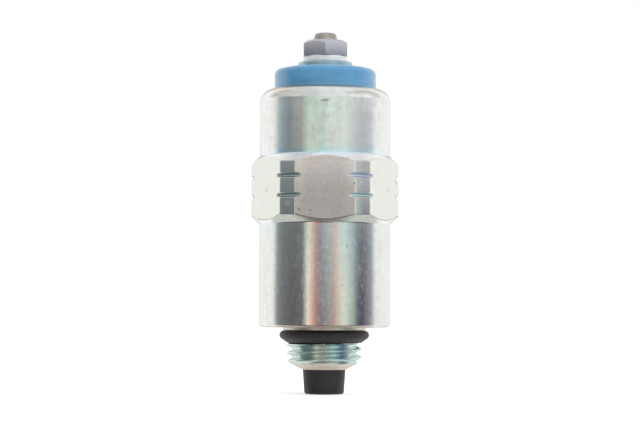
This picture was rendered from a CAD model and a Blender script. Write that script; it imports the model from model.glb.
"""Fuel shutoff solenoid: a zinc plated body, a blue cap with a screw terminal, a rubber tipped plunger.

Sizes are in millimetres in the functions that make the pieces, and in metres in the scene.
"""

import math

import bmesh
import bpy
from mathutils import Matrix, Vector


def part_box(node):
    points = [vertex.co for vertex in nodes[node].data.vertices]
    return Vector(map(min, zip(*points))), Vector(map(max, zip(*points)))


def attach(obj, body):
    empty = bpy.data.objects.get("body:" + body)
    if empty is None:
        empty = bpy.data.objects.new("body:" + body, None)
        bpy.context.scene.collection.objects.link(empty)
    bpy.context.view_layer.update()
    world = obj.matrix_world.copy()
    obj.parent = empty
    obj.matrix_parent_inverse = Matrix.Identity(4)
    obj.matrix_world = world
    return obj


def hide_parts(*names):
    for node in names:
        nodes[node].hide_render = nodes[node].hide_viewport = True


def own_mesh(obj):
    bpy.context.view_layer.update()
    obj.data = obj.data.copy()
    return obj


MM = 0.001

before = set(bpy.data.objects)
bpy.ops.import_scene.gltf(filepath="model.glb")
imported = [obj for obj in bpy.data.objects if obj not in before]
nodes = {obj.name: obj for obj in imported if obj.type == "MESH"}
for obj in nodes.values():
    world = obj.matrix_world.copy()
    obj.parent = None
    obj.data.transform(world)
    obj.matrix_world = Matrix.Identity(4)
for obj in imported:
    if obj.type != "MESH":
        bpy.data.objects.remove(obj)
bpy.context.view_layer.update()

# The body, in millimetres: distances from the axis, then heights over the lower barrel's foot

BARREL = 12.0
FLAT = 12.45
RIM = 13.55
GROOVE_ROOT = 13.18
BEVEL_LOW, HEX_LOW, HEX_HIGH, BEVEL_HIGH = 18.9, 20.25, 29.9, 31.35
GROOVES = (23.75, 27.30)

# Shares of a thread's pitch: the heights of its rows from a root to a crest, its flank and its depth.
# FLANK_CURVE is how much of the flank's slope is a curve

ROOT_TO_CREST = (0.0, 0.05, 0.084, 0.13, 0.22, 0.30, 0.38, 0.425, 0.45, 0.5)
FLANK_TOP = 0.4375
FLANK_RISE = 0.3541
THREAD_DEPTH = 0.6134
FLANK_CURVE = 0.35

# The plunger's stroke in millimetres, the distance in metres under which points are welded, and the
# angle from which an edge stays sharp

WELD = 2e-7
SHARP_EDGE = math.radians(38)


# Mesh making


def ease(corners, steps=4, most=0.45):
    """Rounds each corner (radius, height, setback) of a closed section with a short curve.

    A curve takes up at most a given share of the side before its corner and of the side after it.
    """
    points = []
    count = len(corners)
    for i, (r, z, setback) in enumerate(corners):
        corner = Vector((r, z))
        if setback == 0:
            points.append(corner)
            continue
        before = Vector(corners[i - 1][:2]) - corner
        after = Vector(corners[(i + 1) % count][:2]) - corner
        start = corner + before * min(most, setback / max(before.length, 1e-6))
        end = corner + after * min(most, setback / max(after.length, 1e-6))
        for k in range(steps):
            t = k / (steps - 1)
            points.append(start * (1 - t) ** 2 + corner * 2 * t * (1 - t) + end * t**2)
    return points


def finish_mesh(name, shape, surface, node, body):
    """Cleans a mesh, smooths it up to its sharp edges, and puts it in the place of its CAD node."""
    bmesh.ops.remove_doubles(shape, verts=shape.verts, dist=WELD)
    bmesh.ops.dissolve_degenerate(shape, edges=shape.edges, dist=WELD)
    bmesh.ops.recalc_face_normals(shape, faces=shape.faces)
    mesh = bpy.data.meshes.new(name)
    shape.to_mesh(mesh)
    shape.free()
    mesh.shade_smooth()
    mesh.set_sharp_from_angle(angle=SHARP_EDGE)
    mesh.materials.append(surface)
    piece = bpy.data.objects.new(name, mesh)
    bpy.context.collection.objects.link(piece)
    evened = piece.modifiers.new("even_shading", "WEIGHTED_NORMAL")
    evened.keep_sharp = True
    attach(piece, body)
    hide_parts(node)
    return piece


def column(shape, angle, points):
    """New mesh points from (radius, height) points, all at one angle round Z."""
    across, back = math.cos(angle), math.sin(angle)
    return [shape.verts.new((r * across * MM, r * back * MM, z * MM)) for r, z in points]


def skin(shape, loops):
    """Faces between each closed loop of mesh points and the next."""
    for near, far in zip(loops, loops[1:]):
        for i in range(len(near)):
            j = (i + 1) % len(near)
            shape.faces.new((near[i], near[j], far[j], far[i]))


def lathe(name, section, angles, surface, node, body="housing"):
    """A piece turned round Z. section(angle) gives the closed section's points there, always as many.

    The last angle is a full turn past the first, and its column is welded to the first one.
    """
    shape = bmesh.new()
    skin(shape, [column(shape, angle, section(angle)) for angle in angles])
    return finish_mesh(name, shape, surface, node, body)


def swept(name, section, stations, surface, node):
    """A piece swept through stations of (angle, radius, height) with a section of (out, up) points."""
    shape = bmesh.new()
    loops = []
    for angle, radius, height in stations:
        points = [(radius + out, height + up) for out, up in section]
        loops.append(column(shape, angle, points))
    skin(shape, loops)
    shape.faces.new(loops[0])
    shape.faces.new(loops[-1])
    return finish_mesh(name, shape, surface, node, "housing")


def even(count):
    """Evenly spaced angles of a full turn."""
    return [2 * math.pi * i / count for i in range(count + 1)]


def hex_angles(stops, turn, counts=(12, 4, 6)):
    """Angles of a full turn for a hexagonal piece, mirrored in each flat.

    stops are degrees from a flat's middle to its edge, with as many steps between them as counts says.
    """
    half = []
    for start, end, count in zip(stops, stops[1:], counts):
        half += [start + (end - start) * i / count for i in range(count)]
    half.append(stops[-1])
    one_flat = [-a for a in reversed(half[1:])] + half
    found = [math.radians(turn + 60 * k + a) for k in range(6) for a in one_flat[:-1]]
    return found + [found[0] + 2 * math.pi]


def flat_distance(angle, flat, turn):
    """How far a hexagon's side is from the axis at an angle. turn is where one flat faces, in degrees."""
    offset = (math.degrees(angle) - turn + 30) % 60 - 30
    return flat / math.cos(math.radians(offset))


def arc(centre, radius, start, end, steps):
    """Points of an arc with no rounding of their own, angles in degrees from the outward direction."""
    angles = [math.radians(start + (end - start) * i / steps) for i in range(steps + 1)]
    return [(centre[0] + radius * math.cos(a), centre[1] + radius * math.sin(a), 0) for a in angles]


# Shader making


class Wire:
    """A node's output socket, so that shader maths reads as arithmetic."""

    def __init__(self, shader, socket):
        self.shader = shader
        self.socket = socket

    def maths(self, operation, first, second=None):
        values = [first] if second is None else [first, second]
        return self.shader.node("ShaderNodeMath", {"operation": operation}, values)

    def __add__(self, other):
        return self.maths("ADD", self, other)

    def __radd__(self, other):
        return self.maths("ADD", other, self)

    def __sub__(self, other):
        return self.maths("SUBTRACT", self, other)

    def __rsub__(self, other):
        return self.maths("SUBTRACT", other, self)

    def __mul__(self, other):
        return self.maths("MULTIPLY", self, other)

    def __rmul__(self, other):
        return self.maths("MULTIPLY", other, self)

    def __truediv__(self, other):
        return self.maths("DIVIDE", self, other)

    def __rtruediv__(self, other):
        return self.maths("DIVIDE", other, self)

    def __abs__(self):
        return self.maths("ABSOLUTE", self)

    def most(self, other):
        return self.maths("MAXIMUM", self, other)

    def least(self, other):
        return self.maths("MINIMUM", self, other)


class Surface:
    """A node tree of a material or the world, filled with a few plain words."""

    def __init__(self, name, world=None):
        self.block = world or bpy.data.materials.new(name)
        self.block.use_nodes = True
        self.tree = self.block.node_tree
        self.tree.nodes.clear()

    def node(self, kind, settings=None, inputs=(), output=0):
        """Adds a node: its settings first, then its inputs, by place or by name."""
        made = self.tree.nodes.new(kind)
        for key, value in (settings or {}).items():
            if key == "stops":
                self.set_stops(made.color_ramp, value)
            else:
                setattr(made, key, value)
        pairs = inputs.items() if isinstance(inputs, dict) else enumerate(inputs)
        for key, value in pairs:
            self.feed(made.inputs[key], value)
        return Wire(self, made.outputs[output]) if made.outputs else None

    def feed(self, socket, value):
        if isinstance(value, Wire):
            self.tree.links.new(value.socket, socket)
        elif isinstance(value, tuple) and socket.type == "RGBA":
            socket.default_value = (*value, 1.0)
        else:
            socket.default_value = value

    def set_stops(self, ramp, stops):
        while len(ramp.elements) > 1:
            ramp.elements.remove(ramp.elements[-1])
        for i, (place, colour) in enumerate(stops):
            element = ramp.elements[0] if i == 0 else ramp.elements.new(place)
            element.position = place
            element.color = (*colour, 1.0)

    def place(self):
        """Where a point of the piece is, in millimetres, in the piece's own frame."""
        metres = self.node("ShaderNodeTexCoord", output="Object")
        return self.vector("SCALE", metres, factor=1 / MM)

    def axis(self, where, letter):
        """How far along X, Y or Z a place or a direction is."""
        return self.node("ShaderNodeSeparateXYZ", {}, [where], letter)

    def vector(self, operation, first, second=None, factor=None):
        inputs = {0: first}
        if second is not None:
            inputs[1] = second
        if factor is not None:
            inputs["Scale"] = factor
        out = "Value" if operation == "LENGTH" else "Vector"
        return self.node("ShaderNodeVectorMath", {"operation": operation}, inputs, out)

    def noise(self, where, scale, detail=3.0, roughness=0.55, distortion=0.0):
        inputs = {"Vector": where, "Scale": scale, "Detail": detail, "Roughness": roughness}
        inputs["Distortion"] = distortion
        return self.node("ShaderNodeTexNoise", {"noise_dimensions": "3D"}, inputs)

    def spread(self, value, low, high, start=0.0, end=1.0):
        """A smooth step: start where the value is at most low, end where it's at least high."""
        inputs = {"Value": value, "From Min": low, "From Max": high, "To Min": start, "To Max": end}
        return self.node("ShaderNodeMapRange", {"interpolation_type": "SMOOTHSTEP"}, inputs)

    def fall(self, value, low, high):
        """A smooth step down: 1 where the value is at most low, 0 where it's at least high."""
        return self.spread(value, low, high, 1.0, 0.0)

    def band(self, value, foot, full, fade, end):
        """A mask that rises to 1 from foot to full, and falls to 0 from fade to end."""
        return self.spread(value, foot, full) * self.fall(value, fade, end)

    def mix(self, share, first, second, blend="MIX"):
        """A mix of two colours."""
        made = self.tree.nodes.new("ShaderNodeMix")
        made.data_type = "RGBA"
        made.blend_type = blend
        for socket, value in zip((made.inputs[0], made.inputs[6], made.inputs[7]), (share, first, second)):
            self.feed(socket, value)
        return Wire(self, made.outputs[2])

    def tint(self, share, colour, shade):
        """A colour multiplied by a shade, as much as share says."""
        return self.mix(share, colour, shade, "MULTIPLY")

    def ramp(self, value, stops):
        return self.node("ShaderNodeValToRGB", {"stops": stops}, [value])

    def bump(self, height, strength, distance):
        """A bump whose height is in the unit that distance gives, in millimetres."""
        inputs = {"Height": height, "Strength": strength, "Distance": distance * MM}
        return self.node("ShaderNodeBump", {}, inputs, "Normal")

    def principled(self, **inputs):
        """The final shader. Names are the sockets' own, with _ for a space."""
        named = {key.replace("_", " "): value for key, value in inputs.items()}
        shader = self.node("ShaderNodeBsdfPrincipled", {}, named)
        self.node("ShaderNodeOutputMaterial", {}, {"Surface": shader})
        return self.block


def squeeze(surface, where, along):
    """Coordinates stretched along each axis by the shares given."""
    return surface.vector("MULTIPLY", where, along)


def from_axis(surface, where):
    """How far a place is from the part's axis."""
    return surface.vector("LENGTH", squeeze(surface, where, (1.0, 1.0, 0.0)))


def spot(surface, where, centre, radius, stretch=(1.0, 1.0, 1.0), soft=0.5):
    """A mask round one place on the piece, in millimetres, with a wavering edge."""
    moved = surface.vector("SUBTRACT", where, centre)
    waver = (surface.noise(where, 1.6, 2.0) - 0.5) * radius * 1.2
    reach = surface.vector("LENGTH", squeeze(surface, moved, stretch)) + waver
    return surface.fall(reach, radius * (1 - soft), radius * (1 + soft))


# Finishes


def plate_colour(s, where, streaks, cloud):
    """The turned metal's own colour, before the tints of its regions."""
    tints = s.ramp(
        streaks,
        [
            (0.30, (0.66, 0.74, 0.70)),
            (0.42, (0.78, 0.83, 0.76)),
            (0.50, (0.86, 0.84, 0.78)),
            (0.56, (0.84, 0.74, 0.71)),
            (0.62, (0.77, 0.76, 0.80)),
            (0.74, (0.68, 0.73, 0.78)),
        ],
    )
    patches = s.noise(where, 0.22, 4.0, 0.6)
    colour = s.mix(s.spread(patches, 0.35, 0.7, 0.15, 0.75), (0.87, 0.88, 0.86), tints)
    return s.mix(s.spread(cloud, 0.35, 0.75, 0.0, 0.35), colour, (0.62, 0.63, 0.62))


def tint_nose(s, where, colour, streaks, nose, collar):
    """Teal on the nose, with one bluer place, and brown on the collar over it."""
    teal = s.ramp(streaks, [(0.4, (0.56, 0.75, 0.74)), (0.6, (0.73, 0.82, 0.75))])
    blue = spot(s, where, (3.6, -5.6, -4.9), 1.7, (1.0, 1.0, 0.5))
    teal = s.mix(blue * 0.45, teal, (0.38, 0.52, 0.74))
    colour = s.mix(nose * 0.85, colour, teal)
    return s.mix(collar * 0.8, colour, (0.82, 0.77, 0.68))


def tint_hexagon(s, where, colour, streaks, groove):
    """Darker metal round the hexagon: over its upper bevel, on its lower bevel and in its grooves."""
    across, height = s.axis(where, "X"), s.axis(where, "Z")
    aside = abs(across)
    over_bevel = s.band(height, 31.0, 31.3, 31.4, 33.2) * s.spread(aside, 8.0, 10.4, 0.9, 0.25)
    colour = s.mix(over_bevel, colour, (0.72, 0.89, 0.94))
    on_bevel = s.band(height, 18.75, 18.95, 20.1, 20.3)
    olive = s.ramp(streaks, [(0.4, (0.44, 0.49, 0.46)), (0.6, (0.54, 0.54, 0.47))])
    olive = s.mix(s.spread(aside, 8.8, 10.2), olive, (0.93, 0.94, 0.91))
    colour = s.mix(on_bevel * 0.9, colour, olive)
    right = s.mix(s.spread(height, 25.0, 26.0), (0.54, 0.76, 0.78), (0.60, 0.70, 0.84))
    shade = s.mix(s.spread(across, -5.0, 5.0), (0.36, 0.49, 0.48), right)
    return s.mix(groove * 0.8, colour, shade)


def tint_lower_barrel(s, where, colour):
    """Upright streaks on the lower barrel, each a band from left to right, and a brown lower edge."""
    across, height = s.axis(where, "X"), s.axis(where, "Z")
    aside = abs(across)
    upper = s.band(height, 5.0, 17.0, 18.7, 18.9)
    lower = s.band(height, 0.3, 0.5, 2.0, 10.0)
    colour = s.tint(upper, colour, (0.97, 1.0, 1.0))
    for part, streak, shade in (
        (upper, (-2.1, -1.5, -0.9, -0.1), (0.97, 0.82, 0.86)),
        (upper, (2.5, 3.2, 4.6, 5.6), (0.86, 0.90, 1.0)),
        (upper, (4.9, 5.8, 7.6, 8.8), (0.90, 0.87, 0.88)),
        (lower, (5.5, 6.2, 6.8, 7.6), (0.72, 0.74, 0.82)),
    ):
        colour = s.tint(part * s.band(across, *streak), colour, shade)
    colour = s.tint(lower * s.fall(aside, 8.5, 10.0), colour, (0.97, 0.92, 0.90))
    edge = s.fall(height, 0.25, 0.60) * s.spread(from_axis(s, where), 11.3, 11.6)
    return s.tint(edge * s.fall(aside, 7.5, 9.5), colour, (0.62, 0.55, 0.52))


def tint_upper_barrel(s, where, colour):
    """The rolled lip, darker and greener to its top, and lighter streaks on the barrel under it."""
    across, height = s.axis(where, "X"), s.axis(where, "Z")
    aside = abs(across)
    lip = s.ramp(
        (height - 42.0) / 1.75,
        [
            (0.40, (1.0, 1.0, 1.0)),
            (0.57, (1.0, 0.98, 0.92)),
            (0.66, (0.98, 0.92, 0.84)),
            (0.75, (0.82, 0.82, 0.75)),
            (0.85, (0.71, 0.77, 0.71)),
        ],
    )
    colour = s.tint(s.fall(aside, 6.5, 9.0), colour, lip)
    peach = s.spread(height, 42.3, 42.9) * s.band(across, -10.2, -8.6, -7.0, -2.5)
    colour = s.tint(peach, colour, (0.97, 0.92, 0.85))
    under_lip = s.band(height, 38.0, 40.5, 41.6, 42.0) * s.band(aside, 3.0, 5.0, 8.2, 9.4)
    colour = s.tint(under_lip, colour, (1.10, 1.08, 1.09))
    barrel = s.band(height, 31.8, 32.6, 40.0, 41.4)
    brown = s.band(across, -6.6, -5.6, -4.4, -3.4)
    colour = s.tint(barrel * brown, colour, (1.13, 1.06, 1.08))
    teal = s.band(across, -8.9, -8.1, -7.2, -6.4)
    return s.tint(barrel * teal, colour, (1.08, 1.10, 1.14))


def zinc_plate():
    """Passivated zinc on turned steel: pale, with faint pink, green and blue tints in streaks."""
    s = Surface("zinc_plate")
    where = s.place()
    height = s.axis(where, "Z")
    streaks = s.noise(squeeze(s, where, (0.55, 0.55, 0.035)), 1.0, 3.0, 0.6, 0.3)
    cloud = s.noise(where, 0.8, 5.0, 0.65)
    nose = s.fall(height, -0.9, -0.6)
    collar = s.band(height, -0.8, -0.65, 0.16, 0.24)
    nose_end = s.fall(height, -6.95, -6.5)
    groove = groove_mask(s, height)
    rubs = scratches(s, where)
    colour = plate_colour(s, where, streaks, cloud)
    colour = tint_nose(s, where, colour, streaks, nose, collar)
    peach = s.ramp(cloud, [(0.4, (1.0, 0.87, 0.77)), (0.6, (0.94, 0.84, 0.70))])
    colour = s.mix(nose_end, colour, peach)
    colour = tint_hexagon(s, where, colour, streaks, groove)
    colour, marks = body_marks(s, where, colour)
    colour = tint_upper_barrel(s, where, colour)
    colour = tint_lower_barrel(s, where, colour)
    colour = s.tint(s.spread(from_axis(s, where), 13.2, 13.5), colour, (0.97, 0.945, 0.955))
    colour = s.mix(rubs * 0.25, colour, (0.40, 0.42, 0.40))
    grain = s.noise(where, 3.2, 4.0, 0.6)
    fine = s.noise(where, 22.0, 3.0, 0.5)
    specks = s.spread(s.noise(squeeze(s, where, (1.0, 1.0, 0.6)), 1.6, 4.0, 0.6), 0.46, 0.70)
    rough = 0.10 + s.spread(cloud, 0.3, 0.8, 0.0, 0.05) + s.spread(height, 31.0, 32.0, 0.0, 0.06)
    for mask, more in (
        (specks, 0.08),
        (nose_end, 0.3),
        (groove, 0.2),
        (rubs, 0.12),
        (nose, 0.08),
        (collar, 0.3),
        (marks, 0.12),
        (fine, 0.03),
    ):
        rough = rough + mask * more
    relief = (grain * 0.8 + fine * 0.2) * (1.0 - nose * 0.7) - marks * 0.12
    return s.principled(
        Base_Color=colour,
        Metallic=1.0 - nose_end * 0.65,
        Roughness=rough.least(0.8),
        Normal=s.bump(relief, 0.15, 0.015),
    )


def scratches(s, where):
    """Thin rubs that lean both ways, in scattered patches."""
    left = {"Vector": where, "Angle": 0.5}
    leaned = s.node("ShaderNodeVectorRotate", {"rotation_type": "AXIS_ANGLE"}, left)
    fine = s.noise(squeeze(s, leaned, (2.6, 2.6, 0.16)), 1.0, 3.0, 0.6)
    right = {"Vector": where, "Angle": -0.45}
    leaned = s.node("ShaderNodeVectorRotate", {"rotation_type": "X_AXIS"}, right)
    other = s.noise(squeeze(s, leaned, (2.2, 2.2, 0.14)), 1.0, 3.0, 0.6)
    patches = s.spread(s.noise(where, 0.16, 2.0, 0.5), 0.48, 0.62)
    return s.spread(fine.most(other), 0.66, 0.74) * patches


def groove_mask(s, height):
    """Where the hexagon's two turned grooves are, by height."""
    low, high = (s.fall(abs(height - middle), 0.30, 0.46) for middle in GROOVES)
    return low.most(high)


def body_marks(s, where, colour):
    """The few small knocks, specks and smudges of this used part."""
    dark = (0.10, 0.10, 0.10)
    brown = (0.20, 0.11, 0.06)
    marks = None
    for centre, radius, stretch, tint, strength in (
        ((-0.25, -12.0, 40.70), 0.34, (0.6, 1.0, 1.7), dark, 0.40),
        ((0.35, -12.0, 40.82), 0.30, (0.6, 1.0, 1.7), dark, 0.30),
        ((-3.1, -11.6, 38.7), 0.20, (1.0, 1.0, 1.0), dark, 0.06),
        ((2.6, -11.7, 39.5), 0.22, (1.0, 1.0, 1.0), dark, 0.12),
        ((-2.1, -11.8, 35.6), 0.20, (1.0, 1.0, 1.0), dark, 0.14),
        ((8.8, -8.1, 40.3), 0.45, (1.0, 1.0, 1.6), brown, 0.08),
        ((-3.6, -11.5, 5.6), 0.55, (2.2, 2.2, 0.8), (0.9, 0.88, 0.82), 0.5),
        ((4.0, -11.3, 14.7), 0.35, (1.6, 1.6, 0.9), dark, 0.22),
        ((3.1, -11.6, 7.6), 0.22, (1.0, 1.0, 1.0), (0.30, 0.38, 0.60), 0.5),
        ((-6.75, -11.75, 22.25), 0.50, (1.0, 1.0, 1.0), (0.98, 0.97, 0.92), 0.8),
    ):
        mask = spot(s, where, centre, radius, stretch)
        colour = s.mix(mask * strength, colour, tint)
        marks = mask if marks is None else marks.most(mask)
    for centre, radius, tint, strength in (
        ((-4.7, -12.5, 21.1), 0.22, brown, 0.6),
        ((-2.6, -12.5, 20.9), 0.20, brown, 0.5),
        ((5.2, -12.4, 25.8), 0.24, (0.16, 0.24, 0.10), 0.5),
        ((4.6, -12.4, 24.8), 0.50, (0.66, 0.44, 0.40), 0.35),
    ):
        mask = spot(s, where, centre, radius)
        colour = s.mix(mask * strength, colour, tint)
    return colour, marks


def front_flat(s, where, mottle):
    """The front flat's colour: rosy, lighter upwards and at both ends, and worn bare at the right end."""
    across, height = s.axis(where, "X"), s.axis(where, "Z")
    blotches = s.spread(s.noise(where, 0.55, 3.0, 0.6), 0.35, 0.65)
    rosy = s.mix(s.spread(mottle, 0.3, 0.7), (0.65, 0.58, 0.58), (0.80, 0.73, 0.71))
    rosy = s.mix(blotches * 0.5, rosy, (0.75, 0.71, 0.68))
    rosy = s.tint(1.0, rosy, s.spread(height, 24.0, 30.5, 0.88, 1.20))
    ends = s.spread(abs(across), 2.8, 4.8) * s.spread(height, 21.5, 26.2, 0.6, 1.0)
    rosy = s.tint(ends, rosy, (1.13, 1.13, 1.12))
    worn = s.spread(across, 4.5, 4.95) * s.spread(height, 22.5, 24.0)
    bare = s.mix(s.spread(height, 25.6, 27.6), (0.84, 0.74, 0.73), (0.93, 0.95, 0.96))
    return s.mix(worn * 0.6, rosy, bare)


def stain_mask(s, where):
    """A thin uneven line along the flats' lower edges, just over the bevel."""
    slope = (HEX_LOW - BEVEL_LOW) / (RIM - BARREL)
    over_bevel = s.axis(where, "Z") - BEVEL_LOW - (from_axis(s, where) - BARREL) * slope
    uneven = s.spread(s.noise(where, 0.5, 2.0), 0.28, 0.5, 0.35, 1.0)
    return s.fall(over_bevel, 0.10, 0.30) * uneven


def rolled_flat():
    """The hexagon's flats, as rolled: matt, mottled and a little rougher than the turned metal."""
    s = Surface("zinc_rolled_flat")
    where = s.place()
    mottle = s.noise(where, 1.9, 5.0, 0.70)
    colour = s.ramp(
        mottle,
        [
            (0.30, (0.86, 0.87, 0.84)),
            (0.45, (0.95, 0.97, 0.92)),
            (0.55, (1.00, 0.99, 0.95)),
            (0.70, (0.97, 0.99, 0.95)),
        ],
    )
    passivation = s.ramp(
        s.noise(where, 0.30, 4.0, 0.65),
        [
            (0.36, (0.94, 0.94, 1.00)),
            (0.48, (0.96, 1.00, 0.97)),
            (0.56, (1.00, 0.98, 0.95)),
            (0.66, (0.95, 0.96, 0.97)),
        ],
    )
    colour = s.tint(1.0, colour, passivation)
    colour = s.tint(s.spread(s.axis(where, "X"), 8.0, 9.0), colour, (0.97, 0.96, 0.97))
    for smudge in ((-10.64, -6.47, 24.9), (11.46, -5.05, 25.0), (13.05, -2.3, 26.6)):
        colour = s.mix(spot(s, where, smudge, 0.5) * 0.35, colour, (0.60, 0.60, 0.55))
    front = s.fall(s.axis(where, "Y"), -12.43, -12.0)
    colour = s.mix(front, colour, front_flat(s, where, mottle))
    colour = s.mix(stain_mask(s, where) * 0.9, colour, (0.15, 0.12, 0.07))
    colour, _ = body_marks(s, where, colour)
    fine = s.noise(squeeze(s, where, (1.0, 1.0, 0.5)), 4.0, 5.0, 0.75)
    normal = s.bump(fine * 0.6 + mottle * 0.4, 0.38, 0.05)
    rough = s.spread(mottle, 0.3, 0.7, 0.36, 0.48)
    return s.principled(Base_Color=colour, Metallic=1.0, Roughness=rough, Normal=normal)


def zinc_fastener(name, roughness, dark, middle, light, metallic=1.0):
    """Zinc on a nut or a washer, in three shades of its own."""
    s = Surface(name)
    where = s.place()
    cloud = s.noise(where, 0.45, 3.0, 0.5)
    colour = s.ramp(cloud, [(0.30, dark), (0.50, middle), (0.70, light)])
    rough = s.spread(cloud, 0.3, 0.7, *roughness)
    normal = s.bump(s.noise(where, 9.0, 4.0, 0.6), 0.3, 0.03)
    return s.principled(Base_Color=colour, Metallic=metallic, Roughness=rough, Normal=normal)


def stud_steel():
    """The stud's end: zinc gone brown and dull in the thread."""
    s = Surface("stud_steel")
    where = s.place()
    cloud = s.noise(where, 1.4, 5.0, 0.65)
    colour = s.ramp(
        cloud,
        [
            (0.3, (0.38, 0.345, 0.31)),
            (0.5, (0.45, 0.42, 0.38)),
            (0.7, (0.54, 0.51, 0.47)),
        ],
    )
    rough = s.spread(cloud, 0.3, 0.7, 0.48, 0.34)
    normal = s.bump(s.noise(where, 8.0, 4.0, 0.6), 0.4, 0.03)
    return s.principled(Base_Color=colour, Metallic=0.9, Roughness=rough, Normal=normal)


def blue_nylon():
    """The cap: moulded blue nylon with a soft gloss, faint flow marks and handling dust."""
    s = Surface("blue_nylon")
    where = s.place()
    flow = s.noise(squeeze(s, where, (0.18, 0.18, 1.6)), 1.0, 5.0, 0.65, 0.3)
    colour = s.ramp(
        flow,
        [
            (0.30, (0.058, 0.245, 0.455)),
            (0.50, (0.072, 0.285, 0.525)),
            (0.70, (0.092, 0.335, 0.585)),
        ],
    )
    dust = s.noise(where, 2.2, 6.0, 0.7)
    by_the_lip = s.spread(s.axis(where, "Z"), 43.75, 44.5, 0.28, 0.0)
    share = s.spread(dust, 0.52, 0.80, 0.0, 0.22) + by_the_lip
    colour = s.mix(share.least(0.6), colour, (0.30, 0.40, 0.46))
    fine = s.noise(where, 12.0, 4.0, 0.6)
    return s.principled(
        Base_Color=colour,
        Roughness=s.spread(dust, 0.3, 0.75, 0.30, 0.46),
        Normal=s.bump(fine * 0.5 + dust * 0.5, 0.15, 0.03),
        Specular_IOR_Level=0.55,
        Coat_Weight=0.8,
        Coat_Roughness=0.18,
    )


def black_rubber():
    """Moulded nitrile rubber: near black, with a faint grey bloom."""
    s = Surface("black_rubber")
    where = s.place()
    bloom = s.noise(where, 1.3, 6.0, 0.7)
    colour = s.ramp(
        bloom,
        [
            (0.35, (0.020, 0.019, 0.020)),
            (0.60, (0.034, 0.031, 0.032)),
            (0.78, (0.066, 0.061, 0.060)),
        ],
    )
    rough = s.spread(bloom, 0.3, 0.75, 0.42, 0.62)
    normal = s.bump(s.noise(where, 14.0, 4.0, 0.65), 0.35, 0.03)
    return s.principled(Base_Color=colour, Roughness=rough, Normal=normal, Specular_IOR_Level=0.4)


def turned_steel(name, dark, light):
    """Bare metal with fine turning lines round it."""
    s = Surface(name)
    where = s.place()
    lines = s.noise(squeeze(s, where, (0.08, 0.08, 9.0)), 1.0, 4.0, 0.6)
    cloud = s.noise(where, 0.5, 4.0, 0.6)
    colour = s.ramp(lines * 0.5 + cloud * 0.5, [(0.35, dark), (0.65, light)])
    rough = s.spread(cloud, 0.3, 0.7, 0.24, 0.38)
    normal = s.bump(lines, 0.3, 0.02)
    return s.principled(Base_Color=colour, Metallic=1.0, Roughness=rough, Normal=normal)


def wound_copper():
    """Enamelled wire laid side by side in turns of a quarter of a millimetre."""
    s = Surface("wound_copper")
    where = s.place()
    waves = 2 * math.pi / 0.25
    turns = s.node("ShaderNodeMath", {"operation": "SINE"}, [s.axis(where, "Z") * waves])
    colour = s.mix(s.spread(turns, -1.0, 0.4), (0.14, 0.035, 0.015), (0.46, 0.15, 0.06))
    wear = s.noise(where, 1.2, 4.0, 0.6)
    colour = s.mix(s.spread(wear, 0.5, 0.8, 0.0, 0.4), colour, (0.60, 0.24, 0.10))
    return s.principled(
        Base_Color=colour,
        Metallic=0.85,
        Roughness=0.32,
        Normal=s.bump(turns, 0.8, 0.08),
        Coat_Weight=0.5,
    )


def dull_finish(name, dark, light, grain, low=0.4, high=0.6):
    """A dull moulded, pressed or taped finish with its own grain, low to high in roughness."""
    s = Surface(name)
    where = s.place()
    fibres = s.noise(squeeze(s, where, grain), 1.0, 5.0, 0.65)
    colour = s.ramp(fibres, [(0.32, dark), (0.68, light)])
    rough = s.spread(fibres, 0.3, 0.7, high, low)
    return s.principled(Base_Color=colour, Roughness=rough, Normal=s.bump(fibres, 0.5, 0.04))


def woven_sleeving():
    """Braided glass sleeving: two sets of slanting strands."""
    s = Surface("woven_sleeving")
    where = s.place()
    diagonal = {"bands_direction": "DIAGONAL", "wave_type": "BANDS"}
    strands = []
    for slant in (1.0, -1.0):
        inputs = {"Vector": squeeze(s, where, (slant, slant, 1.0)), "Scale": 2.4, "Distortion": 0.4}
        strands.append(s.node("ShaderNodeTexWave", diagonal, inputs, "Fac"))
    weave = strands[0].most(strands[1])
    colour = s.mix(weave, (0.34, 0.31, 0.24), (0.66, 0.63, 0.53))
    return s.principled(Base_Color=colour, Roughness=0.75, Normal=s.bump(weave, 0.7, 0.05))


# Pieces


def thread_rows(angle, crest, pitch, foot, low, high):
    """Points of a right-hand screw thread from low to high, in rows that climb with its turns.

    foot is the height of a root at angle 0. Rows past either end lie on that end, where they are welded.
    """
    rows = []
    turn = angle / (2 * math.pi)
    crest_to_root = [1.0 - share for share in reversed(ROOT_TO_CREST[1:-1])]
    for lap in range(math.floor((low - foot) / pitch) - 1, math.ceil((high - foot) / pitch) + 1):
        for offset in (*ROOT_TO_CREST, *crest_to_root):
            z = min(max(foot + pitch * (lap + turn + offset), low), high)
            place = (z - foot) / pitch - turn
            away = abs(place - round(place))
            depth = min(max((FLANK_TOP - away) / FLANK_RISE, 0.0), 1.0)
            curve = depth * depth * (3 - 2 * depth)
            depth = depth * (1 - FLANK_CURVE) + curve * FLANK_CURVE
            rows.append((crest - THREAD_DEPTH * pitch * depth, z))
    return rows


def nose_rows(angle):
    """The threaded nose from its end face up to its relief, as plain points."""
    rows = []
    face, relief = -7.70, -2.95
    for radius, z in thread_rows(angle, crest=6.875, pitch=1.5, foot=-9.3, low=face, high=relief):
        chamfer = 4.25 + (z - face) * 1.95
        run_out = 6.60 + (relief - z) * 1.6
        rows.append((min(radius, chamfer, run_out), z, 0))
    return rows


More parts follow.
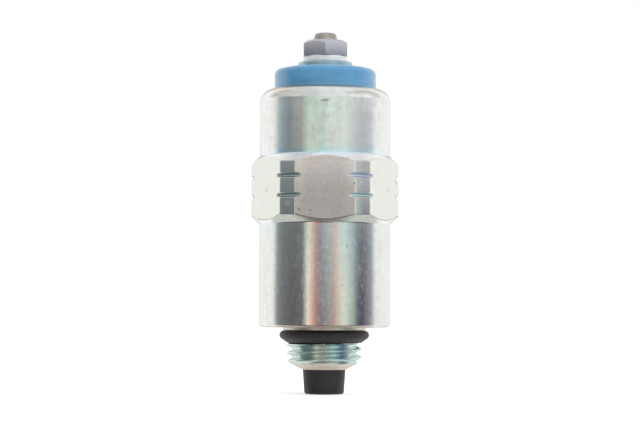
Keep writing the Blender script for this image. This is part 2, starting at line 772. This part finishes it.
def body_section(angle):
    """The body's closed section: up the outside from the nose, down the inside."""
    flat = flat_distance(angle, FLAT, -90)
    edge = min(flat, RIM)
    share = (edge - BARREL) / (RIM - BARREL)
    corners = [(4.1, -7.78, 0.04), (4.2, -7.78, 0)]
    corners += nose_rows(angle)
    corners += [
        (5.75, -2.93, 0),
        (5.75, -0.6, 0.1),
        (7.6, -0.6, 0.12),
        (7.6, 0.15, 0.05),
        (8.6, 0.15, 0.05),
        (8.6, 0.0, 0.04),
        (11.6, 0.0, 0.12),
        (BARREL, 0.4, 0.12),
        (BARREL, BEVEL_LOW, 0.15),
        (edge, BEVEL_LOW + (HEX_LOW - BEVEL_LOW) * share, 0.10),
    ]
    root = min(edge, GROOVE_ROOT)
    for middle in GROOVES:
        mouth, bottom = 0.24 + 0.6 * max(edge - GROOVE_ROOT, 0.0), 0.20
        corners += [(edge, middle - mouth, 0.06), (root, middle - bottom, 0.1)]
        corners += [(root, middle + bottom, 0.1), (edge, middle + mouth, 0.06)]
    corners += [
        (edge, BEVEL_HIGH - (BEVEL_HIGH - HEX_HIGH) * share, 0.10),
        (BARREL, BEVEL_HIGH, 0.15),
    ]
    corners += arc((9.65, 41.4), 2.35, 0, 90, 16)
    corners += [
        (9.42, 43.75, 0.08),
        (9.42, 42.1, 0),
        (10.2, 41.2, 0),
        (10.2, 3.0, 0),
        (6.4, 3.0, 0),
        (6.4, 1.7, 0),
        (5.1, 1.7, 0),
        (5.1, 0.2, 0),
        (4.1, 0.2, 0),
    ]
    return ease(corners)


def make_body(turned, rolled):
    """The body, with the matt finish of the rolled bar left on its six flats."""
    strip = math.degrees(math.acos(FLAT / RIM))
    groove_end = math.degrees(math.acos(FLAT / GROOVE_ROOT))
    angles = hex_angles((0.0, groove_end, strip, 30.0), -90)
    body = lathe("body_shell", body_section, angles, turned, "body")
    body.data.materials.append(rolled)
    margin, tolerance = 0.3, 0.02
    for face in body.data.polygons:
        x, y, z = (value / MM for value in face.center)
        upright = abs(face.normal.z) <= 0.05
        between_bevels = BEVEL_LOW + margin < z < BEVEL_HIGH - margin
        off_flat = flat_distance(math.atan2(y, x), FLAT, -90) - math.hypot(x, y)
        if upright and between_bevels and abs(off_flat) < tolerance:
            face.material_index = 1


def make_cap(surface):
    """The blue cap: skirt and flange under the body's lip, a rounded rim, a low dome and a boss."""

    def section(angle):
        socket = flat_distance(angle, 3.6, -90)
        corners = [(7.6, 37.7, 0), (8.4, 37.7, 0), (8.4, 39.8, 0), (10.1, 39.8, 0), (10.1, 41.1, 0)]
        corners += [(9.36, 42.0, 0)]
        corners += arc((8.36, 46.5), 1.0, 0, 78, 10)
        corners += [(6.9, 47.86, 0.8), (5.5, 47.96, 0.2), (5.2, 48.0, 0.1), (2.7, 48.0, 0.1)]
        corners += [(2.55, 47.8, 0.05), (2.55, 43.5, 0), (socket, 43.5, 0)]
        corners += [(socket, 41.4, 0), (7.6, 41.4, 0)]
        return ease(corners)

    lathe("blue_cap", section, even(180), surface, "insulator_cap")


def make_nut(surface):
    """The thin nut: chamfered both sides, countersunk, with its thread inside."""
    low, high, sink = 49.9, 52.9, 2.72
    low_face, high_face = 3.95, 3.35
    hole, wave, pitch = 2.62, 0.04, 0.8
    thread = [52.8 - 0.063 * i for i in range(45)]

    def section(angle):
        side = flat_distance(angle, 4.0, 0)
        corners = [(sink, low, 0.05), (low_face, low, 0.03)]
        corners += [(side, low + (side - low_face) * 0.12, 0.03)]
        corners += [(side, high - (side - high_face) * 0.62, 0.10)]
        corners += [(high_face, high, 0.15), (sink, high, 0.05)]
        for z in thread:
            turns = (z - 48.0) / pitch
            corners.append((hole - wave * math.cos(turns * 2 * math.pi - angle), z, 0))
        return ease(corners)

    angles = hex_angles((0.0, 12.0, 22.0, 30.0), 0)
    lathe("hex_nut", section, angles, surface, "terminal_nut")


def make_stud(surface):
    """The terminal stud: its keyed head in the cap, its thread, and its pointed end above the nut."""

    def section(angle):
        head = min(flat_distance(angle, 3.5, -90), 3.85)
        thread = thread_rows(angle, crest=2.45, pitch=0.8, foot=44.0, low=43.6, high=52.95)
        corners = [(0.0, 41.4, 0), (head, 41.4, 0.1), (head, 43.4, 0.1), (2.4, 43.4, 0)]
        corners += [(radius, z, 0) for radius, z in thread]
        corners += [(2.3, 53.0, 0.1), (2.14, 53.3, 0.2), (2.1, 53.65, 0.2)]
        corners += [(1.84, 54.26, 0.22), (0.0, 54.35, 0)]
        return ease(corners)

    lathe("terminal_screw", section, even(72), surface, "terminal_stud")


def make_washers(flat_finish, split_finish):
    """The flat washer on the cap, and the split spring washer that the nut has pressed flat."""

    def flat_section(angle):
        corners = [(2.65, 48.02, 0.05), (5.0, 48.02, 0.04), (5.0, 48.8, 0.16), (2.65, 48.8, 0.08)]
        return ease(corners)

    lathe("flat_washer", flat_section, even(120), flat_finish, "plain_washer")
    corners = [(0.0, 0.0, 0.08), (1.5, 0.0, 0.10), (1.5, 1.03, 0.05), (0.0, 1.03, 0.05)]
    section = [tuple(point) for point in ease(corners)]
    inside, foot, steps = 2.6, 48.84, 120
    split = 0.7 / 4.1
    first = math.radians(40) + split / 2
    stations = []
    for i in range(steps + 1):
        stations.append((first + (2 * math.pi - split) * i / steps, inside, foot))
    swept("split_washer", section, stations, split_finish, "spring_washer")


def make_nose_ring(surface):
    """The rubber ring under the collar: full at its upper edge, drawn in below."""

    def section(angle):
        corners = arc((7.43, -1.50), 0.82, -42, 90, 12)
        corners += arc((6.7, -1.50), 0.82, 90, 180, 8)
        corners += arc((6.6, -2.17), 0.75, 180, 318, 12)
        return [point[:2] for point in corners]

    lathe("sealing_ring", section, even(160), surface, "nose_seal_ring")


def make_tip(surface):
    """The rubber tip, moulded round the plunger's stub."""

    def section(angle):
        corners = [(0.0, -12.22, 0), (2.0, -12.25, 0.3), (3.63, -12.3, 0.42), (3.94, -7.85, 0.5)]
        corners += [(3.95, -7.0, 0.15), (1.7, -7.0, 0), (1.7, -8.1, 0), (2.4, -8.1, 0), (2.4, -9.0, 0)]
        corners += [(1.9, -9.5, 0), (0.0, -9.5, 0)]
        return ease(corners, 6)

    lathe("rubber_tip", section, even(96), surface, "valve_tip", "plunger")


def make_spring(surface):
    """The return spring, its end turns closed. It shortens as the plunger is drawn in."""
    low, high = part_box("return_spring")
    wire, closed, turns, steps = 0.6, 0.69, 8, 36
    bottom = low.z / MM + wire / 2
    top = high.z / MM - wire / 2
    radius = high.x / MM - wire / 2
    stations = []
    for i in range(turns * steps + 1):
        turn = i / steps
        climb = min(max((turn - 1) / (turns - 2), 0.0), 1.0)
        ends = min(turn, 1.0) + max(turn - (turns - 1), 0.0)
        height = bottom + closed * ends + (top - bottom - 2 * closed) * climb
        stations.append((2 * math.pi * turn, radius, height))
    section = [point[:2] for point in arc((0.0, 0.0), wire / 2, 0, 330, 11)]
    spring = swept("coil_spring", section, stations, surface, "return_spring")
    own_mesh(spring)


def dress_inside():
    """Finishes for the CAD pieces inside the body."""
    steel = turned_steel("turned_steel", (0.40, 0.40, 0.41), (0.62, 0.62, 0.62))
    dark_steel = turned_steel("spring_steel", (0.24, 0.24, 0.26), (0.42, 0.42, 0.44))
    brass = turned_steel("drawn_brass", (0.52, 0.34, 0.12), (0.74, 0.52, 0.22))
    copper = wound_copper()
    lead = turned_steel("lead_copper", (0.36, 0.11, 0.05), (0.55, 0.20, 0.09))
    rubber = black_rubber()
    nylon = dull_finish("black_nylon", (0.020, 0.020, 0.021), (0.045, 0.045, 0.046), (1.5, 1.5, 0.4))
    tape = dull_finish("yellow_tape", (0.52, 0.33, 0.05), (0.68, 0.47, 0.11), (0.3, 0.3, 2.2), 0.25, 0.4)
    fibre = dull_finish("fibre_board", (0.24, 0.07, 0.035), (0.40, 0.14, 0.07), (2.5, 0.6, 2.5), 0.6, 0.8)
    finishes = {
        "end_plate": steel,
        "pole_piece": steel,
        "plunger": steel,
        "wave_washer": dark_steel,
        "guide_tube": brass,
        "pole_shim": brass,
        "winding": copper,
        "live_lead": lead,
        "earth_lead": lead,
        "cap_seal": rubber,
        "guide_tube_seal": rubber,
        "bobbin": nylon,
        "coil_wrap": tape,
        "insulating_disc": fibre,
        "lead_sleeve": woven_sleeving(),
    }
    for name, surface in finishes.items():
        piece = nodes[name]
        piece.data.materials.clear()
        piece.data.materials.append(surface)
    return rubber, dark_steel


# Studio


def horizon_bands(s, turn, up):
    """What the metal mirrors near the horizon, all the way round: one set of bands over another."""
    low_bands = s.ramp(
        turn,
        [
            (0.000, (0.60, 0.64, 0.65)),
            (0.030, (0.68, 0.72, 0.72)),
            (0.065, (1.00, 1.00, 1.00)),
            (0.215, (1.00, 1.00, 0.97)),
            (0.241, (0.29, 0.32, 0.34)),
            (0.270, (0.20, 0.205, 0.215)),
            (0.330, (0.13, 0.13, 0.14)),
            (0.396, (0.14, 0.14, 0.16)),
            (0.409, (0.74, 0.74, 0.66)),
            (0.420, (1.00, 0.92, 0.80)),
            (0.434, (0.86, 0.58, 0.50)),
            (0.452, (0.60, 0.26, 0.25)),
            (0.468, (0.27, 0.20, 0.23)),
            (0.485, (0.21, 0.19, 0.23)),
            (0.522, (0.31, 0.31, 0.35)),
            (0.548, (0.62, 0.37, 0.35)),
            (0.574, (0.80, 0.72, 0.66)),
            (0.592, (0.84, 0.92, 0.80)),
            (0.606, (0.72, 0.84, 0.70)),
            (0.634, (0.50, 0.62, 0.58)),
            (0.660, (0.20, 0.25, 0.28)),
            (0.682, (0.10, 0.10, 0.14)),
            (0.715, (0.18, 0.17, 0.21)),
            (0.749, (0.30, 0.34, 0.41)),
            (0.783, (1.00, 1.00, 0.97)),
            (0.935, (1.00, 1.00, 1.00)),
            (0.970, (0.68, 0.72, 0.72)),
            (1.000, (0.60, 0.64, 0.65)),
        ],
    )
    high_bands = s.ramp(
        turn,
        [
            (0.000, (0.60, 0.64, 0.65)),
            (0.030, (0.68, 0.72, 0.72)),
            (0.065, (1.05, 1.05, 1.05)),
            (0.226, (1.05, 1.05, 1.05)),
            (0.248, (0.36, 0.48, 0.53)),
            (0.290, (0.26, 0.31, 0.325)),
            (0.385, (0.28, 0.305, 0.28)),
            (0.415, (0.54, 0.76, 0.58)),
            (0.470, (0.72, 0.92, 0.82)),
            (0.530, (0.87, 1.05, 0.97)),
            (0.565, (0.70, 0.87, 0.82)),
            (0.605, (0.70, 0.78, 0.76)),
            (0.640, (0.60, 0.64, 0.67)),
            (0.720, (0.57, 0.63, 0.66)),
            (0.748, (0.66, 0.72, 0.75)),
            (0.772, (1.05, 1.05, 1.05)),
            (0.935, (1.05, 1.05, 1.05)),
            (0.970, (0.68, 0.72, 0.72)),
            (1.000, (0.60, 0.64, 0.65)),
        ],
    )
    return s.mix(s.spread(up, 0.041, 0.054), low_bands, high_bands)


def tent_sky(s, across, depth):
    """The tent over the bands: pale blue overhead, greyer behind, with grey flags in front."""
    sky = s.ramp(
        depth * 0.5 + 0.5,
        [
            (0.05, (0.84, 0.88, 0.85)),
            (0.40, (0.88, 0.92, 0.94)),
            (0.50, (0.98, 1.02, 1.16)),
            (0.62, (0.84, 0.85, 0.92)),
            (0.85, (0.74, 0.72, 0.68)),
            (0.96, (0.62, 0.63, 0.60)),
        ],
    )
    edges = s.spread(abs(across), 0.32, 0.48) * s.spread(depth, 0.15, 0.55)
    sky = s.mix(edges, sky, (1.09, 1.09, 1.10))
    flanks = s.fall(across, -0.66, -0.42).most(s.spread(across, 0.46, 0.64))
    sky = s.mix(flanks * s.fall(depth, 0.3, 0.6), sky, (0.60, 0.59, 0.56))
    flag = s.band(across, -0.54, -0.42, -0.22, -0.12) * s.fall(depth, 0.20, 0.35)
    return s.mix(flag * 0.7, sky, (0.62, 0.60, 0.66))


def card_mask(s, across, depth, up):
    """Where two white cards hang over the front bands: a wide one on the right, a weak one on the left."""
    left = s.band(across, -0.92, -0.80, -0.58, -0.45)
    cards = s.spread(across, 0.10, 0.40).most(left * 0.35)
    return cards * s.band(up, 0.11, 0.15, 0.45, 0.75) * s.fall(depth, 0.05, 0.35)


def studio_world():
    """A pale tent with bands at its foot, for the metal to mirror. The camera sees plain white."""
    world = bpy.data.worlds.new("tent")
    bpy.context.scene.world = world
    s = Surface("tent", world)
    way = s.node("ShaderNodeTexCoord", output="Generated")
    across, depth, up = (s.axis(way, letter) for letter in "XYZ")
    azimuth = s.node("ShaderNodeMath", {"operation": "ARCTAN2"}, [across, depth * -1.0])
    bands = horizon_bands(s, azimuth / (2 * math.pi) + 0.5, up)
    colour = s.mix(s.spread(up, 0.12, 0.36), bands, tent_sky(s, across, depth))
    colour = s.mix(card_mask(s, across, depth, up), colour, (0.93, 0.93, 0.95))
    eye = s.node("ShaderNodeLightPath", output="Is Camera Ray")
    colour = s.mix(eye, colour, (1.0, 1.0, 1.0))
    light = s.node("ShaderNodeBackground", {}, {"Color": colour, "Strength": 1.0})
    s.node("ShaderNodeOutputWorld", {}, {"Surface": light})


def studio_floor():
    """A pale round floor just under the tip, which keeps the part's shadow."""
    s = Surface("pale_floor")
    cloth = s.node("ShaderNodeBsdfDiffuse", {}, {"Color": (0.86, 0.86, 0.85)})
    glow = s.node("ShaderNodeEmission", {}, {"Color": (1.0, 1.0, 1.0), "Strength": 0.45})
    both = s.node("ShaderNodeAddShader", {}, [cloth, glow])
    eye = s.node("ShaderNodeLightPath", output="Is Camera Ray")
    shown = s.node("ShaderNodeMixShader", {}, [eye, cloth, both])
    mirrored = s.node("ShaderNodeLightPath", output="Is Glossy Ray")
    clear = s.node("ShaderNodeBsdfTransparent")
    shown = s.node("ShaderNodeMixShader", {}, [mirrored, shown, clear])
    s.node("ShaderNodeOutputMaterial", {}, {"Surface": shown})
    radius, height = 0.6, -0.01235
    shape = bmesh.new()
    bmesh.ops.create_circle(shape, cap_ends=True, segments=96, radius=radius)
    mesh = bpy.data.meshes.new("floor")
    shape.to_mesh(mesh)
    shape.free()
    mesh.materials.append(s.block)
    floor = bpy.data.objects.new("floor", mesh)
    floor.location = (0.0, 0.0, height)
    bpy.context.collection.objects.link(floor)


def studio_lamp(name, place, target, size, power):
    """A square soft white lamp that faces a point."""
    lamp = bpy.data.lights.new(name, "AREA")
    lamp.size = size
    lamp.energy = power
    holder = bpy.data.objects.new(name, lamp)
    holder.location = place
    holder.rotation_euler = (Vector(target) - Vector(place)).to_track_quat("-Z", "Y").to_euler()
    holder.visible_glossy = False
    bpy.context.collection.objects.link(holder)


def studio_camera():
    """The camera: low in front, 37 cm off, tilted up a little."""
    aside, away, height = -0.00088, 0.369, 0.0049
    aim_height, roll = 0.0209, math.radians(0.24)
    lens = bpy.data.cameras.new("camera")
    lens.lens = 112.5
    lens.sensor_width = 36.0
    lens.clip_start = 0.01
    camera = bpy.data.objects.new("camera", lens)
    camera.location = (aside, -away, height)
    target = Vector((aside, 0.0, aim_height))
    camera.rotation_euler = (target - camera.location).to_track_quat("-Z", "Y").to_euler()
    camera.rotation_euler.rotate_axis("Z", roll)
    bpy.context.collection.objects.link(camera)
    bpy.context.scene.camera = camera


def build():
    """Dresses the whole part and sets up the studio."""
    rubber, dark_steel = dress_inside()
    turned = zinc_plate()
    nut = zinc_fastener(
        "zinc_nut", (0.32, 0.38), (0.60, 0.61, 0.67), (0.64, 0.63, 0.69), (0.64, 0.63, 0.74)
    )
    flat = zinc_fastener(
        "zinc_flat_washer", (0.35, 0.45), (0.33, 0.46, 0.53), (0.42, 0.58, 0.66), (0.50, 0.64, 0.73)
    )
    split = zinc_fastener(
        "zinc_split_washer", (0.5, 0.6), (0.93, 0.92, 0.93), (0.97, 0.96, 0.96), (0.98, 0.98, 0.99), 0.6
    )
    make_body(turned, rolled_flat())
    make_cap(blue_nylon())
    make_nut(nut)
    make_washers(flat, split)
    make_stud(stud_steel())
    make_nose_ring(rubber)
    make_tip(rubber)
    make_spring(dark_steel)
    studio_world()
    studio_floor()
    studio_lamp("overhead", (0.0, -0.10, 0.45), (0.0, 0.0, 0.02), 0.30, 0.6)
    studio_lamp("right_fill", (0.40, -0.25, 0.16), (0.0, 0.0, 0.045), 0.20, 0.5)
    studio_camera()
    bpy.context.scene.view_settings.view_transform = "Standard"


build()
